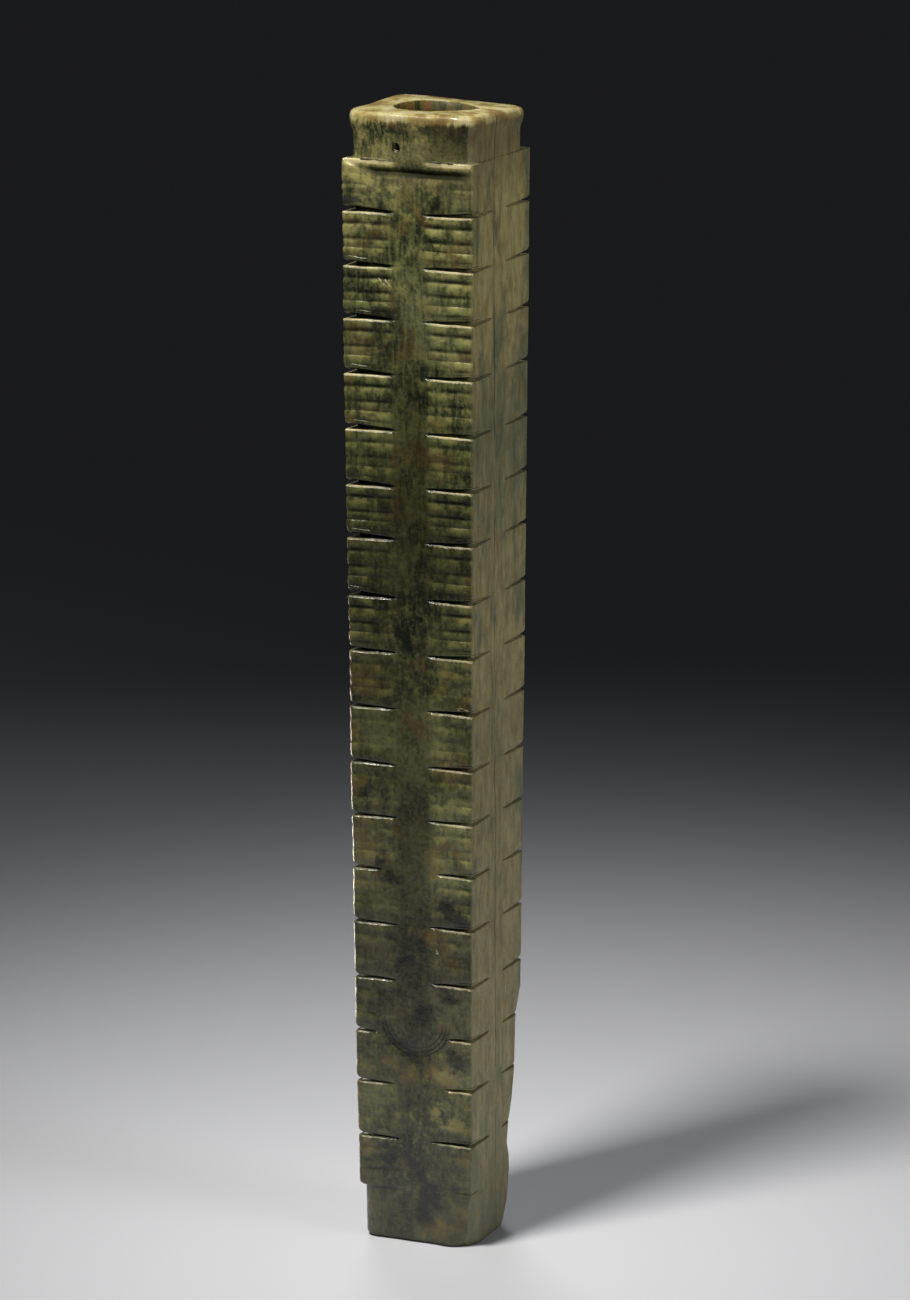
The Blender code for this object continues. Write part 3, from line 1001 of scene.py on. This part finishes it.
def front_colour(graph, place, grain, fibre, mottle, height):
    """The mottled green of the jade, with its bands, stains and golden clouds."""
    upper = graph.span(height, 0.45, 0.80, 0.45, 1.0)
    darker = graph.times(upper, graph.span(height, 0.90, 0.965, 1.0, 0.4))
    cloud = graph.noise(place, 30.0, detail=4.0, roughness=0.55)
    colour = graph.ramp(cloud, ((0.38, DARK_GREEN), (0.49, OLIVE), (0.61, PALE_OLIVE)))
    colour = graph.tint(colour, UPPER_OLIVE, mottle, 0.46, 0.68, 0.6, upper)
    colour = graph.tint(colour, DARK_GREEN, mottle, 0.56, 0.30, 0.6, darker)
    colour = graph.tint(colour, PALE_OLIVE, grain, 0.50, 0.66, 0.45)
    colour = graph.tint(colour, DARK_GREEN, grain, 0.50, 0.36, 0.45)
    warm = graph.noise(place, 55.0, detail=5.0, roughness=0.65)
    colour = graph.tint(colour, BROWN, warm, 0.53, 0.68, 0.75)
    light = graph.plus(mottle, graph.times(graph.attribute("pale"), 0.17))
    colour = graph.tint(colour, YELLOW, light, 0.56, 0.74, 0.6)
    colour = graph.tint(colour, UPPER_OLIVE, fibre, 0.48, 0.66, 0.40, upper)
    colour = graph.tint(colour, DARK_GREEN, fibre, 0.50, 0.34, 0.40, darker)
    # A painted highlight, partly polished wear, lightens the tops of the bands to yellow
    shine = graph.times(graph.attribute("polish"), graph.span(mottle, 0.40, 0.60, 0.15, 0.95))
    colour = graph.mix(shine, colour, BAND_YELLOW)

    dark = graph.noise(place, 48.0, detail=6.0, roughness=0.70)
    dark = graph.plus(dark, graph.times(graph.attribute("stain"), 0.15))
    colour = graph.tint(colour, BLACK_GREEN, dark, 0.56, 0.72, 0.85)
    # Partly the stone's tone, partly painted light and shade by height
    colour = graph.mix(1.0, colour, graph.ramp(height, HEIGHT_TONES_AND_LIGHT), "MULTIPLY")
    # Painted light and shade, with the stone's tone, for the front's blocks and the hidden faces
    colour = graph.mix(1.0, colour, graph.grey(graph.attribute("shade")), "MULTIPLY")
    golden = graph.plus(graph.times(graph.attribute("rust"), 0.6), graph.minus(warm, 0.5))
    golden = graph.plus(golden, graph.times(graph.minus(mottle, 0.5), 1.4))
    return graph.tint(colour, GOLDEN, golden, 0.20, 0.90, 0.70)


def stone_colour(graph, place, grain, fibre, mottle):
    """The colour of the whole stone, with the rim, the bore, the edges' pale wear and painted
    highlight, and the darkening that is partly grime and partly painted shade.
    """
    height = graph.math("DIVIDE", graph.split(place)[2], HEIGHT)
    colour = graph.mix(graph.attribute("side"),
                       front_colour(graph, place, grain, fibre, mottle, height),
                       right_colour_and_sheen(graph, place, mottle, height))

    rim = graph.plus(graph.attribute("rim"), graph.span(fibre, 0.3, 0.7, -0.30, 0.10))
    soft = graph.noise(place, 95.0, detail=3.0)
    rim_colour = graph.ramp(soft, ((0.36, RIM_OLIVE), (0.47, RIM_YELLOW), (0.60, RIM_CREAM)))
    colour = graph.tint(colour, rim_colour, rim, 0.1, 1.0, 0.8)
    colour = graph.tint(colour, RUST, soft, 0.52, 0.38, 0.4, graph.attribute("rim"))
    streak = graph.noise(graph.stretch(place, (1.0, 1.0, 0.25)), 210.0, detail=4.0, roughness=0.6)
    wall = graph.ramp(streak, ((0.36, DARK_GREEN), (0.48, OLIVE), (0.58, BROWN), (0.74, RUST)))
    colour = graph.mix(graph.attribute("inside"), colour, wall)

    # Painted highlight, partly pale wear, in cream along the edges
    edge = graph.times(graph.span(graph.attribute("edge"), 0.55, 0.95),
                       graph.span(mottle, 0.35, 0.6, 0.5, 0.9))
    colour = graph.mix(edge, colour, RIM_CREAM)
    # Grime and painted shade: grooves, slots, creases and the saw cut are darkened towards near
    # black
    return graph.mix(graph.times(graph.attribute("dirt"), 0.92), colour, DIRT_AND_SHADE)


def make_jade():
    """Polished, mottled nephrite, duller on its right and left faces."""
    jade = bpy.data.materials.new("jade_stone")
    graph = Graph(jade)
    place = graph.position()
    mottle = graph.noise(place, 150.0, detail=5.0, roughness=0.65)
    grain = graph.noise(place, 520.0, detail=4.0, roughness=0.6)
    fibre = graph.noise(graph.stretch(place, (1.0, 1.0, 0.14)), 620.0, detail=3.0)
    speck = graph.noise(place, 1500.0, detail=2.0)
    rings, scratch_glints = marks(graph, place, grain)
    open_crack = crack(graph, place)
    colour = stone_colour(graph, place, grain, fibre, mottle)
    colour = graph.mix(graph.times(rings, 0.9), colour, BLACK_GREEN)
    # Painted glints in cream along the scratch marks
    colour = graph.mix(graph.times(scratch_glints, 0.9), colour, GLINT_CREAM)
    # The open crack is painted near black, grime and painted shade in its gap
    colour = graph.mix(graph.times(open_crack, 0.8), colour, DIRT_AND_SHADE)
    graph.link(colour, graph.shader.inputs["Base Color"])

    dull = graph.plus(graph.times(graph.attribute("side"), 0.30),
                      graph.times(graph.attribute("inside"), 0.25))
    rough = graph.plus(graph.span(grain, 0.3, 0.7, 0.20, 0.34), dull)
    rough = graph.plus(rough, graph.times(graph.attribute("dirt"), 0.5))
    rough = graph.minus(rough, graph.times(graph.attribute("edge"), 0.08))
    graph.link(rough, graph.shader.inputs["Roughness"])
    gloss = graph.span(graph.attribute("dirt"), 0.0, 0.6, 0.45, 0.05)
    gloss = graph.times(gloss, graph.span(graph.attribute("left"), 0.0, 1.0, 1.0, 0.2))
    graph.link(gloss, graph.shader.inputs["Specular IOR Level"])
    graph.shader.inputs["IOR"].default_value = NEPHRITE_IOR

    height = 0.0
    for texture, share in ((grain, 0.5), (fibre, 0.5), (speck, 0.2), (mottle, 1.2)):
        height = graph.plus(height, graph.times(texture, share))
    smooth = graph.times(1.6, graph.most(graph.attribute("rim"), graph.attribute("edge")))
    height = graph.times(height, graph.span(smooth, 0.0, 1.6, 1.0, 0.08))
    height = graph.minus(height, graph.times(open_crack, 0.6))
    graph.link(graph.bump(height, UNEVENNESS, 0.8), graph.shader.inputs["Normal"])
    return jade


# Dark, pale and rusty patches of the front: place across and up the face, and radius, in
# millimetres
STAINS = (
    (17.5, 486, 9), (25.5, 467, 3.5), (12, 457.5, 3), (12.7, 441, 3.5),
    (7, 426, 3), (-12, 411, 4.5), (-7, 410, 4), (26, 343, 4),
    (26.5, 332, 4), (-6, 272, 3.5), (-3, 269, 3), (-14.6, 172, 5),
    (-11, 164, 4), (16, 152, 3.5), (22, 150, 3), (24, 130, 2.5),
    (-2, 127, 6), (2, 118, 6), (0, 106, 8), (-21, 88, 6),
    (-12, 89, 5), (20, 87, 6), (26, 89, 4), (-17, 60, 5),
    (-4, 62, 4), (-14, 33, 5), (4, 24, 6), (1, 34, 5),
    (-12, 108, 5), (10, 108, 5), (3, 13, 4),
)
PALES = (
    (-17, 466, 5), (-6, 465, 5), (14, 463, 4.5), (-20, 445, 5.5),
    (-11, 421, 4.5), (-20, 423, 4.5), (-22, 396, 4), (-17, 393, 4),
    (24, 421, 4), (23, 407, 4.5), (24, 390, 5), (3, 380, 3),
    (2, 372, 2.5), (24, 371, 4), (13, 91, 3), (12, 77, 5),
    (22, 75, 4.5), (20, 57, 5), (8, 60, 4),
)
RUSTS = (
    (24, 244, 6), (16, 250, 6), (27, 262, 4), (-27.5, 403, 3.5),
    (-27, 380, 3.5), (-27, 361, 4), (-27, 336, 4), (-27, 312, 4),
    (10, 412, 4), (13, 364, 4), (25, 230, 3.5), (-25, 252, 3),
    (-25, 228, 5), (-24, 205, 4.5), (-23, 40.5, 5), (-14, 80, 8),
    (-3, 76, 7), (8, 79, 7), (16, 74, 6), (24, 66, 5),
    (24, 54, 5), (10, 170, 5), (6, 140, 5), (26, 404, 3),
    (-3, 447, 3.5), (-2, 460, 4), (26, 14, 7), (14, 6, 7),
    (24, 40, 5),
)


def patches(grid, places):
    """1 in the middle of each patch of the front, falling to 0 round it."""
    across = grid["radius"] * np.sin(OFF_FACE)
    total = np.zeros_like(across)
    for place, height, reach in places:
        distance = np.hypot(across - place * MM, grid["height"] - height * MM)
        total = np.maximum(total, bump(distance, 0.0, 1.3 * reach * MM))
    return total * FRONT


def front_shades(grid):
    """How bright each point is, partly its tone and partly painted light and shade: the channel,
    the near block, the left one or a hidden face.
    """
    share = grid["height"] / HEIGHT
    away = smooth_step(0.15, 0.45, np.abs(TANGENT))
    channel, near, left = (np.interp(share, SHADE_HEIGHTS, shades)
                           for shades in (CHANNEL_SHADES, NEAR_SHADES, LEFT_SHADES))
    shades = lerp(lerp(channel, near, away * NEAR), left, away * FRONT_LEFT)
    return lerp(HIDDEN_FACE_PAINTED_LIGHT, shades, FRONT)


def make_piece():
    grid, outside = make_grid()
    for name, shares in (("side", RIGHT), ("front", FRONT), ("left", LEFT)):
        grid[name] = shares + 0.0 * grid["radius"]
    cut_saw_mark(grid)
    cut_scar(grid)
    cut_lost_corner(grid)
    for name, places in (("stain", STAINS), ("pale", PALES), ("rust", RUSTS)):
        grid[name] = patches(grid, places)
    grid["shade"] = front_shades(grid)
    weather(grid, outside)
    stand_out(grid, outside)
    piece = add_object("carved_jade", build_mesh(grid))
    drill_side_hole(piece)
    piece.data.materials.clear()
    piece.data.materials.append(make_jade())
    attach(piece, "root")
    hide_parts("jade_cong")
    return piece


# The studio: half the floor's width, its grey, and the dim grey of the room
FLOOR_HALF = 14.0
FLOOR_GREY = (0.52, 0.535, 0.575)
WORLD_GREY = 0.02


def make_floor():
    mesh = bpy.data.meshes.new("floor")
    half = FLOOR_HALF
    mesh.from_pydata([(-half, -half, 0), (half, -half, 0), (half, half, 0), (-half, half, 0)],
                     [], [(0, 1, 2, 3)])
    floor = add_object("floor", mesh)
    material = bpy.data.materials.new("floor_paper")
    graph = Graph(material)
    graph.shader.inputs["Base Color"].default_value = (*FLOOR_GREY, 1.0)
    graph.shader.inputs["Roughness"].default_value = 1.0
    graph.shader.inputs["Specular IOR Level"].default_value = 0.0
    floor.data.materials.append(material)


def add_area_light(name, place, target, size, power, colour=(1.0, 1.0, 1.0), spread=180.0):
    data = bpy.data.lights.new(name, "AREA")
    data.shape = "RECTANGLE"
    data.size, data.size_y = size
    data.energy = power
    data.color = colour
    data.spread = math.radians(spread)
    lamp = add_object(name, data)
    lamp.location = place
    lamp.rotation_euler = (Vector(target) - Vector(place)).to_track_quat("-Z", "Y").to_euler()
    lamp.visible_camera = False
    return lamp


def make_lights():
    world = bpy.data.worlds.new("studio")
    world.use_nodes = True
    background = world.node_tree.nodes["Background"]
    background.inputs["Color"].default_value = (WORLD_GREY, WORLD_GREY, WORLD_GREY, 1.0)
    bpy.context.scene.world = world
    middle = (0.0, 0.0, HEIGHT / 2)
    add_area_light("key", place=(-0.25, -0.65, 1.65), target=(0.0, -0.10, 0.26), size=(0.3, 0.3),
                   power=1.65, colour=(1.0, 0.96, 0.89), spread=38.0)
    side = add_area_light("side", place=(1.5, -0.15, 0.45), target=middle, size=(0.7, 0.7),
                          power=1.22, spread=42.0)
    side.visible_glossy = False
    back = add_area_light("back", place=(-0.9, 1.5, 1.3), target=middle, size=(0.8, 0.8),
                          power=1.25, spread=36.0)
    back.visible_glossy = False
    glint = add_area_light("glint", place=(-0.36, 0.10, 0.08), target=(0.0, 0.0, 0.11),
                           size=(0.55, 0.15), power=0.95, colour=(1.0, 0.90, 0.72), spread=70.0)
    glint.visible_diffuse = False


# The camera, fitted to the ends of the slots in the photograph
CAMERA_AZIMUTH = math.radians(24.35)
CAMERA_DISTANCE = 2.373
CAMERA_HEIGHT = 0.8067
CAMERA_PITCH = math.radians(12.983)
CAMERA_YAW = math.radians(0.170)
CAMERA_ROLL = math.radians(-0.196)
CAMERA_LENS = 157.0


def make_camera():
    data = bpy.data.cameras.new("camera")
    data.lens = CAMERA_LENS
    data.sensor_width = 36.0
    data.clip_start = 0.1
    data.clip_end = 60.0
    camera = add_object("camera", data)
    ahead = Vector((-math.sin(CAMERA_AZIMUTH), math.cos(CAMERA_AZIMUTH), 0.0))
    beside = Vector((math.cos(CAMERA_AZIMUTH), math.sin(CAMERA_AZIMUTH), 0.0))
    level = ahead * math.cos(CAMERA_YAW) + beside * math.sin(CAMERA_YAW)
    right = beside * math.cos(CAMERA_YAW) - ahead * math.sin(CAMERA_YAW)
    forward = level * math.cos(CAMERA_PITCH) - Vector((0.0, 0.0, math.sin(CAMERA_PITCH)))
    up = right.cross(forward)
    rolled = right * math.cos(CAMERA_ROLL) + up * math.sin(CAMERA_ROLL)
    upright = up * math.cos(CAMERA_ROLL) - right * math.sin(CAMERA_ROLL)
    turn = Matrix((rolled, upright, -forward)).transposed()
    place = Vector((0.0, 0.0, CAMERA_HEIGHT)) - ahead * CAMERA_DISTANCE
    camera.matrix_world = Matrix.Translation(place) @ turn.to_4x4()
    bpy.context.scene.camera = camera


make_piece()
make_floor()
make_lights()
make_camera()
bpy.context.scene.view_settings.view_transform = "Standard"
